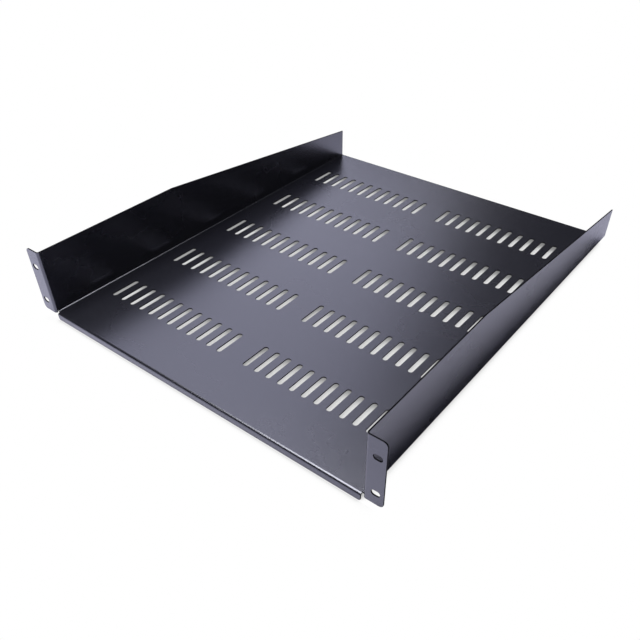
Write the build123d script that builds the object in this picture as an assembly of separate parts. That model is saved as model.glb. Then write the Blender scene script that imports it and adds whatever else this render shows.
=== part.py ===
from build123d import *
from math import cos, pi, sin
import os

# Cantilever rack shelf: one sheet of steel, punched flat and then folded.
# Millimetres, +X to the right seen from the front, +Y to the rear, +Z up.
# The origin is the middle of the rack hole pattern, on the back faces of the ears,
# because that is where the shelf meets the rack's two front rails.

# Rack fit
rack_unit = 44.45
rack_units = 2
panel_clearance = 0.8
ear_span = 482.6
ear_width = 19.8
ear_corner_radius = 5.0
ear_slot_length = 9.3
ear_slot_width = 6.3
ear_slot_from_tip = 8.74

# Sheet and folds
sheet = 1.5
bend_inside = 1.5
relief_gap = 2.5
relief_past_bend = 0.5

# Tray
depth = 558.8
lip_drop = 9.0
lip_corner_radius = 2.5
knee_from_front = 198.0
rear_height = 39.5

# Vent slots, in as many columns and rows as fit inside the margins
vent_length = 38.0
vent_width = 6.0
vent_column_pitch = 16.0
vent_row_pitch = 98.0
vent_from_middle = 19.5
vent_side_margin = 15.0
vent_end_margin = 55.0
vent_end_flats = 8

# Planes and levels that the sizes above fix
bend_outside = bend_inside + sheet
front = -sheet
rear = front + depth
panel_height = rack_units * rack_unit - panel_clearance
top = panel_height / 2
bottom = -panel_height / 2
deck_top = bottom + lip_drop
deck_under = deck_top - sheet
flange_foot = deck_top + bend_inside
ear_fold_end = front + bend_outside
relief_end = ear_fold_end + relief_past_bend
ear_tip = ear_span / 2
flange_out = ear_tip - ear_width
flange_in = flange_out - sheet


def folded_strip(plane, inside_points):
    """Section of a bent strip, drawn from the line on the inside of its bends."""
    inside = FilletPolyline(*inside_points, radius=bend_inside)
    return plane * make_face(offset(inside, amount=sheet, side=Side.RIGHT))


def folded_tray():
    """Deck and both flanges behind the front corner reliefs, with the flanges tapered."""
    inside_points = [(-flange_in, top), (-flange_in, deck_top), (flange_in, deck_top), (flange_in, top)]
    section = folded_strip(Plane.XZ, inside_points)
    tray = Pos(0, rear, 0) * extrude(section, amount=rear - relief_end)
    knee = front + knee_from_front
    rear_top = deck_top + rear_height
    offcut = Plane.YZ * make_face(Polyline((knee, top), (rear, top), (rear, rear_top), close=True))
    return tray - extrude(offcut, amount=flange_out, both=True)


def ear():
    """Right ear with its fold and the flange's short front end, one screw slot per rack unit."""
    inside_points = [(flange_out, relief_end), (flange_out, 0), (ear_tip, 0)]
    section = folded_strip(Plane.XY, inside_points)
    plate = Pos(0, 0, deck_under) * extrude(section, amount=top - deck_under)
    outer_corners = plate.edges().filter_by(Axis.Y).group_by(Axis.X)[-1]
    plate = fillet(outer_corners, radius=ear_corner_radius)
    notch = Polyline(
        (ear_fold_end, deck_under),
        (relief_end, deck_under),
        (relief_end, flange_foot),
        (ear_fold_end, flange_foot),
        close=True,
    )
    plate -= extrude(Plane.YZ * make_face(notch), amount=flange_out)
    punch = extrude(Plane.XZ * SlotOverall(ear_slot_length, ear_slot_width), amount=sheet)
    for unit in range(rack_units):
        level = (unit - (rack_units - 1) / 2) * rack_unit
        plate -= Pos(ear_tip - ear_slot_from_tip, 0, level) * punch
    return plate


def front_lip():
    """Lip with its fold and the deck's front strip, clear of the ears at both ends."""
    inside_points = [(relief_end, deck_under), (0, deck_under), (0, bottom)]
    section = folded_strip(Plane.YZ, inside_points)
    lip = extrude(section, amount=flange_in - relief_gap, both=True)
    lower_corners = lip.edges().filter_by(Axis.Y).group_by(Axis.Z)[0]
    return fillet(lower_corners, radius=lip_corner_radius)


def vent_slot():
    """One vent slot, its long side front to rear, each round end drawn as a few flats."""
    end_radius = vent_width / 2
    end_centre = vent_length / 2 - end_radius
    outline = []
    for side in (1, -1):
        for step in range(vent_end_flats + 1):
            turn = pi * step / vent_end_flats
            outline.append((side * end_radius * cos(turn), side * (end_centre + end_radius * sin(turn))))
    return make_face(Polyline(*outline, close=True))


def vent_punch():
    """Every vent slot as one tool: two groups of columns, with the rows centred on the depth."""
    room_across = flange_in - vent_side_margin - vent_width / 2 - vent_from_middle
    room_along = depth - 2 * vent_end_margin - vent_length
    columns = int(room_across // vent_column_pitch) + 1
    rows = int(room_along // vent_row_pitch) + 1
    first_row = (front + rear) / 2 - (rows - 1) * vent_row_pitch / 2
    slot = Pos(0, 0, deck_under) * extrude(vent_slot(), amount=sheet)
    punches = []
    for row in range(rows):
        for column in range(columns):
            across = vent_from_middle + column * vent_column_pitch
            along = first_row + row * vent_row_pitch
            punches += [Pos(-across, along) * slot, Pos(across, along) * slot]
    return punches


right_ear = ear()
left_ear = mirror(right_ear, about=Plane.YZ)
shelf = folded_tray() + [front_lip(), right_ear, left_ear] - vent_punch()

os.makedirs("parts", exist_ok=True)
export_step(shelf, "parts/shelf_tray.step")
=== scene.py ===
from math import radians

import bmesh
import bpy
from mathutils import Matrix, Vector


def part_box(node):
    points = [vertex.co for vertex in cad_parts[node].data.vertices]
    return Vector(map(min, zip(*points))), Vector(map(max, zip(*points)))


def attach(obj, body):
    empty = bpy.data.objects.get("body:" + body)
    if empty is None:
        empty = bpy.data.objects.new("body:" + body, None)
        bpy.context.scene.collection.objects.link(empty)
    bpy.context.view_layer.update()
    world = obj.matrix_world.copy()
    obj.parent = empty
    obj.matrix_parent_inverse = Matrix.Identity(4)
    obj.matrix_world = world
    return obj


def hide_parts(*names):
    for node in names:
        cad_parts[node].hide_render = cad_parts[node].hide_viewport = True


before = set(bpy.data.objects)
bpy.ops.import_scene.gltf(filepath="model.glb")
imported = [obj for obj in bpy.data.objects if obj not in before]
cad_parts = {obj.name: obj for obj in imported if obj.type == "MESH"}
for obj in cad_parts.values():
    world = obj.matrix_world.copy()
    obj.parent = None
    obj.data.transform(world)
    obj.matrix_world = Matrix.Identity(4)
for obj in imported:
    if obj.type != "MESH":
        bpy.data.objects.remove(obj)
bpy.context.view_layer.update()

# Cantilever rack shelf in satin black powder coat: one sheet, folded, punched and coated.
# Metres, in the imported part's own frame: +X right, +Y to the rear, +Z up.

MM = 0.001

# The sheet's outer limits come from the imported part
low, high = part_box("shelf_tray")
ear_tip = high.x
front, rear = low.y, high.y
bottom, top = low.z, high.z

# Sheet and folds
sheet = 1.5 * MM
bend_inside = 1.5 * MM
bend_steps = 12
edge_round = 0.28 * MM
edge_round_steps = 2
cut_edge_angle = radians(60)
smooth_angle = radians(50)
flat_face_weight = 80

# Place of the second finish on the sheet, the one for its cut edges and slot walls, where it paints
# shade
edge_shade_finish = 1

# Ears and corner reliefs
ear_width = 19.8 * MM
ear_corner = 5.0 * MM
ear_corner_steps = 10
relief_gap = 2.5 * MM
relief_past_bend = 0.5 * MM

# Deck, flanges and lip
lip_drop = 9.0 * MM
lip_corner = 2.5 * MM
lip_corner_steps = 8
knee_from_front = 198.0 * MM
rear_height = 39.5 * MM

# Vent slots and rack screw slots
vent_length = 38.0 * MM
vent_width = 6.0 * MM
vent_columns = 12
vent_rows = 5
vent_column_pitch = 16.0 * MM
vent_row_pitch = 98.0 * MM
vent_from_middle = 19.5 * MM
vent_sides = 22
screw_slot_length = 9.3 * MM
screw_slot_width = 6.3 * MM
screw_slot_across = 232.56 * MM
screw_slot_level = 22.225 * MM
screw_slot_sides = 34

# Levels of the sheet's middle surface, which the folds are drawn on
deck_top = bottom + lip_drop
deck_under = deck_top - sheet
deck_middle = deck_top - sheet / 2
flange_out = ear_tip - ear_width
flange_in = flange_out - sheet
flange_foot = deck_top + bend_inside
side_fold = flange_in - bend_inside
front_fold = front + sheet + bend_inside
relief_end = front_fold + relief_past_bend
lip_end = flange_in - relief_gap
knee = front + knee_from_front
rear_top = deck_top + rear_height

NEAR = 0.02 * MM


def near(value, target):
    return abs(value - target) < NEAR


# Modelling by hand: each helper is one step at the bench


def clear_selection():
    for thing in bpy.context.selected_objects:
        thing.select_set(False)


def take_up(piece):
    """Make one piece the only selected and active object."""
    clear_selection()
    piece.select_set(True)
    bpy.context.view_layer.objects.active = piece


def pick_edges(piece, chosen):
    """In edit mode, select only the edges whose two ends both pass the test."""
    bpy.ops.mesh.select_mode(type="EDGE")
    bpy.ops.mesh.select_all(action="DESELECT")
    mesh = bmesh.from_edit_mesh(piece.data)
    for edge in mesh.edges:
        edge.select_set(all(chosen(end.co) for end in edge.verts))
    bmesh.update_edit_mesh(piece.data)


def pick_corners(piece, chosen):
    """In edit mode, select only the vertices that pass the test."""
    bpy.ops.mesh.select_mode(type="VERT")
    bpy.ops.mesh.select_all(action="DESELECT")
    mesh = bmesh.from_edit_mesh(piece.data)
    for corner in mesh.verts:
        corner.select_set(chosen(corner.co))
    bmesh.update_edit_mesh(piece.data)


def pull(across=0.0, along=0.0, up=0.0):
    """Extrude what is selected in a straight line."""
    bpy.ops.mesh.extrude_region_move(TRANSFORM_OT_translate={"value": (across, along, up)})


def fold(centre, axis):
    """Spin what is selected through a quarter turn, as a press brake does."""
    bpy.ops.mesh.spin(steps=bend_steps, angle=radians(90), center=centre, axis=axis)


def round_corners(radius, steps):
    bpy.ops.mesh.bevel(offset=radius, segments=steps, affect="VERTICES", clamp_overlap=False)


def half_blank():
    """Right half of the sheet's middle surface, folded to shape."""
    clear_selection()
    bpy.ops.mesh.primitive_plane_add(size=1)
    blank = bpy.context.object
    blank.name = "folded_shelf"
    bpy.ops.object.mode_set(mode="EDIT")

    # Deck, with a cut line where the front lip ends
    deck_centre = (side_fold / 2, (relief_end + rear) / 2, deck_middle)
    bpy.ops.transform.resize(value=(side_fold, rear - relief_end, 1))
    bpy.ops.transform.translate(value=deck_centre)
    bpy.ops.mesh.select_all(action="SELECT")
    bpy.ops.mesh.bisect(plane_co=(lip_end, 0, 0), plane_no=(1, 0, 0))

    # Side flange, folded up from the deck
    pick_edges(blank, lambda p: near(p.x, side_fold))
    fold((side_fold, 0, flange_foot), (0, 1, 0))
    pull(up=top - flange_foot)

    # Rack ear, folded outward from the flange's front end
    pick_edges(blank, lambda p: near(p.y, relief_end) and p.z > flange_foot - NEAR)
    pull(along=front_fold - relief_end)
    fold((flange_out + bend_inside, front_fold, 0), (0, 0, -1))
    pull(across=ear_tip - flange_out - bend_inside)

    # The ear and its fold reach lower than the flange's front end
    pick_edges(blank, lambda p: near(p.z, flange_foot) and p.y < front_fold + NEAR)
    pull(up=deck_under - flange_foot)
    pick_edges(blank, lambda p: near(p.z, flange_foot) and p.x > flange_out + bend_inside - NEAR)
    bpy.ops.mesh.dissolve_edges(use_verts=True)
    pick_corners(blank, lambda p: near(p.x, ear_tip))
    round_corners(ear_corner, ear_corner_steps)

    # Front lip, folded down from the deck's front strip
    pick_edges(blank, lambda p: near(p.y, relief_end) and p.x < lip_end + NEAR)
    pull(along=front_fold - relief_end)
    fold((0, front_fold, deck_under - bend_inside), (-1, 0, 0))
    pull(up=bottom - deck_under + bend_inside)
    pick_corners(blank, lambda p: near(p.z, bottom) and near(p.x, lip_end))
    round_corners(lip_corner, lip_corner_steps)

    # Flange tapered behind the knee
    bpy.ops.mesh.select_all(action="SELECT")
    taper = (0, top - rear_top, rear - knee)
    bpy.ops.mesh.bisect(plane_co=(0, knee, top), plane_no=taper, clear_outer=True)
    bpy.ops.object.mode_set(mode="OBJECT")
    return blank


def make_change(piece, name, kind, **settings):
    """Give a piece one modifier and apply it."""
    take_up(piece)
    change = piece.modifiers.new(name, kind)
    for setting, value in settings.items():
        setattr(change, setting, value)
    bpy.ops.object.modifier_apply(modifier=name)


def whole_sheet(piece):
    """Mirror the half, merge the middle seam, face one way, and give the sheet its thickness."""
    make_change(piece, "other_half", "MIRROR", merge_threshold=NEAR)
    bpy.ops.object.mode_set(mode="EDIT")
    bpy.ops.mesh.select_all(action="SELECT")
    bpy.ops.mesh.remove_doubles(threshold=NEAR)
    bpy.ops.mesh.normals_make_consistent(inside=False)
    bpy.ops.object.mode_set(mode="OBJECT")
    make_change(
        piece, "thickness", "SOLIDIFY",
        thickness=sheet, offset=0, use_even_offset=True, use_quality_normals=True,
        material_offset_rim=edge_shade_finish,
    )


def slot_punch(name, length, width, sides, place, lying, finish):
    """One round-ended punch, its long side front to rear, or across an ear where it is lying.

    The walls that it cuts take its finish.
    """
    clear_selection()
    turn = (radians(90), 0, 0) if lying else (0, 0, 0)
    bpy.ops.mesh.primitive_cylinder_add(
        vertices=sides, radius=width / 2, depth=4 * sheet, rotation=turn,
    )
    punch = bpy.context.object
    punch.name = name
    punch.data.materials.append(finish)
    bpy.ops.object.transform_apply(location=False, rotation=True, scale=False)
    bpy.ops.object.mode_set(mode="EDIT")
    reach = (length - width) / 2
    for side in (1, -1):
        if lying:
            pick_corners(punch, lambda p: p.x * side > NEAR)
            bpy.ops.transform.translate(value=(side * reach, 0, 0))
        else:
            pick_corners(punch, lambda p: p.y * side > NEAR)
            bpy.ops.transform.translate(value=(0, side * reach, 0))
    bpy.ops.mesh.select_all(action="SELECT")
    bpy.ops.transform.translate(value=place)
    bpy.ops.object.mode_set(mode="OBJECT")
    return punch


def copy_of(piece, step):
    """A copy with its own mesh, moved by one step inside that mesh."""
    twin = piece.copy()
    twin.data = piece.data.copy()
    twin.data.transform(Matrix.Translation(step))
    bpy.context.collection.objects.link(twin)
    return twin


def punch_slots(piece, finish):
    """Vent slots in two groups of columns, and two screw slots in each ear."""
    first_row = (front + rear) / 2 - (vent_rows - 1) * vent_row_pitch / 2
    vent_place = (0, first_row, deck_middle)
    screw_place = (0, front + sheet / 2, 0)
    vent = slot_punch(
        "vent_punch", vent_length, vent_width, vent_sides,
        place=vent_place, lying=False, finish=finish,
    )
    screw = slot_punch(
        "screw_punch", screw_slot_length, screw_slot_width, screw_slot_sides,
        place=screw_place, lying=True, finish=finish,
    )
    tools = [vent, screw]
    for row in range(vent_rows):
        for column in range(vent_columns):
            across = vent_from_middle + column * vent_column_pitch
            for side in (1, -1):
                tools.append(copy_of(vent, (side * across, row * vent_row_pitch, 0)))
    for level in (screw_slot_level, -screw_slot_level):
        for side in (1, -1):
            tools.append(copy_of(screw, (side * screw_slot_across, 0, level)))
    for pattern in (vent, screw):
        tools.remove(pattern)
        bpy.data.objects.remove(pattern)
    clear_selection()
    for tool in tools:
        tool.select_set(True)
    bpy.context.view_layer.objects.active = tools[0]
    bpy.ops.object.join()
    press = bpy.context.object
    make_change(
        piece, "slots", "BOOLEAN",
        operation="DIFFERENCE", solver="EXACT", object=press, material_mode="TRANSFER",
    )
    bpy.data.objects.remove(press)


def soften_edges(piece):
    """Rounded cut edges under the coat, with smooth bends and flat faces left flat."""
    make_change(
        piece, "cut_edges", "BEVEL",
        width=edge_round, segments=edge_round_steps, limit_method="ANGLE", angle_limit=cut_edge_angle,
        use_clamp_overlap=False, harden_normals=False, material=edge_shade_finish,
    )
    take_up(piece)
    bpy.ops.object.shade_smooth_by_angle(angle=smooth_angle)
    make_change(piece, "flat_faces", "WEIGHTED_NORMAL", weight=flat_face_weight, keep_sharp=True)


# Finishes: patterns per metre and depths of relief
peel_scale = 900.0
peel_depth = 0.10 * MM
cure_scale = 9.0
shear_scale = 900.0
shear_depth = 0.05 * MM


def powder_coat():
    """Satin black powder coat: fine orange peel, and gloss that changes a little from place to place."""
    coat = bpy.data.materials.new("powder_coat")
    coat.use_nodes = True
    nodes, links = coat.node_tree.nodes, coat.node_tree.links
    shader = nodes["Principled BSDF"]
    shader.inputs["IOR"].default_value = 1.78
    shader.inputs["Specular Tint"].default_value = (0.90, 0.90, 1.0, 1.0)
    place = nodes.new("ShaderNodeTexCoord")

    peel = nodes.new("ShaderNodeTexNoise")
    peel.inputs["Scale"].default_value = peel_scale
    peel.inputs["Detail"].default_value = 2.0
    links.new(place.outputs["Object"], peel.inputs["Vector"])
    bump = nodes.new("ShaderNodeBump")
    bump.inputs["Strength"].default_value = 1.0
    bump.inputs["Distance"].default_value = peel_depth
    links.new(peel.outputs["Fac"], bump.inputs["Height"])
    links.new(bump.outputs["Normal"], shader.inputs["Normal"])

    cure = nodes.new("ShaderNodeTexNoise")
    cure.inputs["Scale"].default_value = cure_scale
    cure.inputs["Detail"].default_value = 5.0
    links.new(place.outputs["Object"], cure.inputs["Vector"])
    gloss = nodes.new("ShaderNodeMapRange")
    gloss.inputs["To Min"].default_value = 0.24
    gloss.inputs["To Max"].default_value = 0.30
    links.new(cure.outputs["Fac"], gloss.inputs["Value"])
    links.new(gloss.outputs["Result"], shader.inputs["Roughness"])

    pigment = nodes.new("ShaderNodeValToRGB")
    pigment.color_ramp.elements[0].position = 0.3
    pigment.color_ramp.elements[0].color = (0.003, 0.003, 0.005, 1)
    pigment.color_ramp.elements[1].position = 0.7
    pigment.color_ramp.elements[1].color = (0.0055, 0.0055, 0.009, 1)
    links.new(peel.outputs["Fac"], pigment.inputs["Fac"])
    links.new(pigment.outputs["Color"], shader.inputs["Base Color"])
    return coat


def edge_painted_shade():
    """Cut edges and slot walls in a dull, darker black: painted shade along the edges and in the slot
    walls.
    """
    film = bpy.data.materials.new("edge_painted_shade")
    film.use_nodes = True
    nodes, links = film.node_tree.nodes, film.node_tree.links
    shader = nodes["Principled BSDF"]
    shader.inputs["Specular IOR Level"].default_value = 0.04
    place = nodes.new("ShaderNodeTexCoord")

    shear = nodes.new("ShaderNodeTexNoise")
    shear.inputs["Scale"].default_value = shear_scale
    shear.inputs["Detail"].default_value = 4.0
    links.new(place.outputs["Object"], shear.inputs["Vector"])
    bump = nodes.new("ShaderNodeBump")
    bump.inputs["Distance"].default_value = shear_depth
    links.new(shear.outputs["Fac"], bump.inputs["Height"])
    links.new(bump.outputs["Normal"], shader.inputs["Normal"])

    dullness = nodes.new("ShaderNodeMapRange")
    dullness.inputs["To Min"].default_value = 0.45
    dullness.inputs["To Max"].default_value = 0.70
    links.new(shear.outputs["Fac"], dullness.inputs["Value"])
    links.new(dullness.outputs["Result"], shader.inputs["Roughness"])

    # The darker base colour here is painted shade on the cut edges and slot walls
    pigment = nodes.new("ShaderNodeValToRGB")
    pigment.color_ramp.elements[0].position = 0.3
    pigment.color_ramp.elements[0].color = (0.0015, 0.0015, 0.002, 1)
    pigment.color_ramp.elements[1].position = 0.7
    pigment.color_ramp.elements[1].color = (0.003, 0.003, 0.004, 1)
    links.new(shear.outputs["Fac"], pigment.inputs["Fac"])
    links.new(pigment.outputs["Color"], shader.inputs["Base Color"])
    return film


# Floor: its size, and how far a nook is felt; shares of open sky, each with its share of white
floor_size = 12
nook_reach = 25 * MM
open_floor = 0.62
contact_shades = ((0.34, 0.72), (0.44, 0.80), (0.50, 0.90), (0.565, 0.98))
lip_shade = 0.18


def studio_floor():
    """Plain white floor at the lip's foot, grey where the shelf hides the light above it."""
    clear_selection()
    bpy.ops.mesh.primitive_plane_add(size=floor_size, location=(0, front, bottom))
    floor = bpy.context.object
    floor.name = "floor"
    paint = bpy.data.materials.new("white_floor")
    paint.use_nodes = True
    nodes, links = paint.node_tree.nodes, paint.node_tree.links
    matt = nodes["Principled BSDF"]
    matt.inputs["Base Color"].default_value = (0.84, 0.83, 0.98, 1)
    matt.inputs["Roughness"].default_value = 0.9
    matt.inputs["Specular IOR Level"].default_value = 0.0
    white = nodes.new("ShaderNodeEmission")
    nook = nodes.new("ShaderNodeAmbientOcclusion")
    nook.inputs["Distance"].default_value = nook_reach
    shade = nodes.new("ShaderNodeValToRGB")
    steps = shade.color_ramp.elements
    steps[1].position = open_floor
    for open_share, level in contact_shades:
        steps.new(open_share).color = (level, level, level, 1)
    # The lip stands with its back to the lamps, so the floor in front of it counts as less open
    place = nodes.new("ShaderNodeTexCoord")
    split = nodes.new("ShaderNodeSeparateXYZ")
    links.new(place.outputs["Object"], split.inputs["Vector"])
    ahead = nodes.new("ShaderNodeMapRange")
    ahead.inputs["From Min"].default_value = 0.0
    ahead.inputs["From Max"].default_value = -1.0 * MM
    ahead.inputs["To Max"].default_value = lip_shade
    links.new(split.outputs["Y"], ahead.inputs["Value"])
    openness = nodes.new("ShaderNodeMath")
    openness.operation = "SUBTRACT"
    links.new(nook.outputs["AO"], openness.inputs[0])
    links.new(ahead.outputs["Result"], openness.inputs[1])
    links.new(openness.outputs["Value"], shade.inputs["Fac"])
    links.new(shade.outputs["Color"], white.inputs["Color"])
    seen = nodes.new("ShaderNodeLightPath")
    mix = nodes.new("ShaderNodeMixShader")
    links.new(seen.outputs["Is Camera Ray"], mix.inputs[0])
    links.new(matt.outputs[0], mix.inputs[1])
    links.new(white.outputs[0], mix.inputs[2])
    links.new(mix.outputs[0], nodes["Material Output"].inputs["Surface"])
    floor.data.materials.append(paint)


def softbox(name, place, aim, width, height, brightness, lean, colour):
    """An area lamp of a set brightness, facing a point and leaning to one side by some degrees."""
    lamp = bpy.data.lights.new(name, "AREA")
    lamp.shape = "RECTANGLE"
    lamp.size = width
    lamp.size_y = height
    lamp.energy = 4 * brightness * width * height
    lamp.color = colour
    box = bpy.data.objects.new(name, lamp)
    bpy.context.collection.objects.link(box)
    facing = (Vector(aim) - Vector(place)).to_track_quat("-Z", "Y").to_matrix().to_4x4()
    box.matrix_world = Matrix.Translation(place) @ facing @ Matrix.Rotation(radians(lean), 4, "Z")
    box.visible_camera = False
    return box


def studio_room():
    """White where the camera looks past the floor, dim elsewhere."""
    room = bpy.data.worlds.new("studio_room")
    bpy.context.scene.world = room
    room.use_nodes = True
    nodes, links = room.node_tree.nodes, room.node_tree.links
    dim = nodes["Background"]
    dim.inputs["Color"].default_value = (0.060, 0.060, 0.068, 1)
    white = nodes.new("ShaderNodeBackground")
    white.inputs["Color"].default_value = (1, 1, 1, 1)
    seen = nodes.new("ShaderNodeLightPath")
    mix = nodes.new("ShaderNodeMixShader")
    links.new(seen.outputs["Is Camera Ray"], mix.inputs[0])
    links.new(dim.outputs[0], mix.inputs[1])
    links.new(white.outputs[0], mix.inputs[2])
    links.new(mix.outputs[0], nodes["World Output"].inputs["Surface"])


def photo_camera():
    """Camera at the photograph's place: above the right front corner, looking along the deck."""
    lens = bpy.data.cameras.new("camera")
    lens.sensor_width = 36.0
    lens.lens = 37.821
    lens.shift_y = 0.0896
    camera = bpy.data.objects.new("camera", lens)
    bpy.context.collection.objects.link(camera)
    place = Matrix.Translation((0.42120, -0.31016, 0.42688))
    swing = Matrix.Rotation(radians(38.666), 4, "Z")
    tilt = Matrix.Rotation(radians(90 - 41.519), 4, "X")
    roll = Matrix.Rotation(radians(-0.631), 4, "Z")
    camera.matrix_world = place @ swing @ tilt @ roll
    bpy.context.scene.camera = camera


edge_shade_film = edge_painted_shade()
shelf = half_blank()
shelf.data.materials.append(powder_coat())
shelf.data.materials.append(edge_shade_film)
whole_sheet(shelf)
punch_slots(shelf, edge_shade_film)
soften_edges(shelf)
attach(shelf, "root")
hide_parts("shelf_tray")

studio_floor()
studio_room()
lamp_white = (0.97, 0.98, 1.0)
window_blue = (0.80, 0.81, 1.0)
softbox(
    "overhead_softbox", place=(-0.32, -0.20, 1.35), aim=(-0.32, -0.20, 0.0),
    width=0.74, height=1.30, brightness=10.8, lean=0, colour=lamp_white,
)
# Two cards that only show in reflections: one along the left fold, one on the deck's rear
rear_card = softbox(
    "rear_card", place=(0.22, 0.66, 1.35), aim=(0.22, 0.66, 0.0),
    width=0.75, height=0.42, brightness=10.0, lean=0, colour=lamp_white,
)
rear_card.visible_diffuse = False
far_card = softbox(
    "far_card", place=(-0.90, 2.31, 0.86), aim=(0.03, 0.54, -0.035),
    width=0.46, height=0.24, brightness=0.46, lean=0, colour=lamp_white,
)
far_card.visible_diffuse = False
softbox(
    "side_softbox", place=(-1.947, 1.657, 1.784), aim=(0.0, 0.28, 0.0),
    width=2.08, height=2.71, brightness=1.67, lean=-36.4, colour=window_blue,
)
photo_camera()
bpy.context.scene.view_settings.view_transform = "Standard"
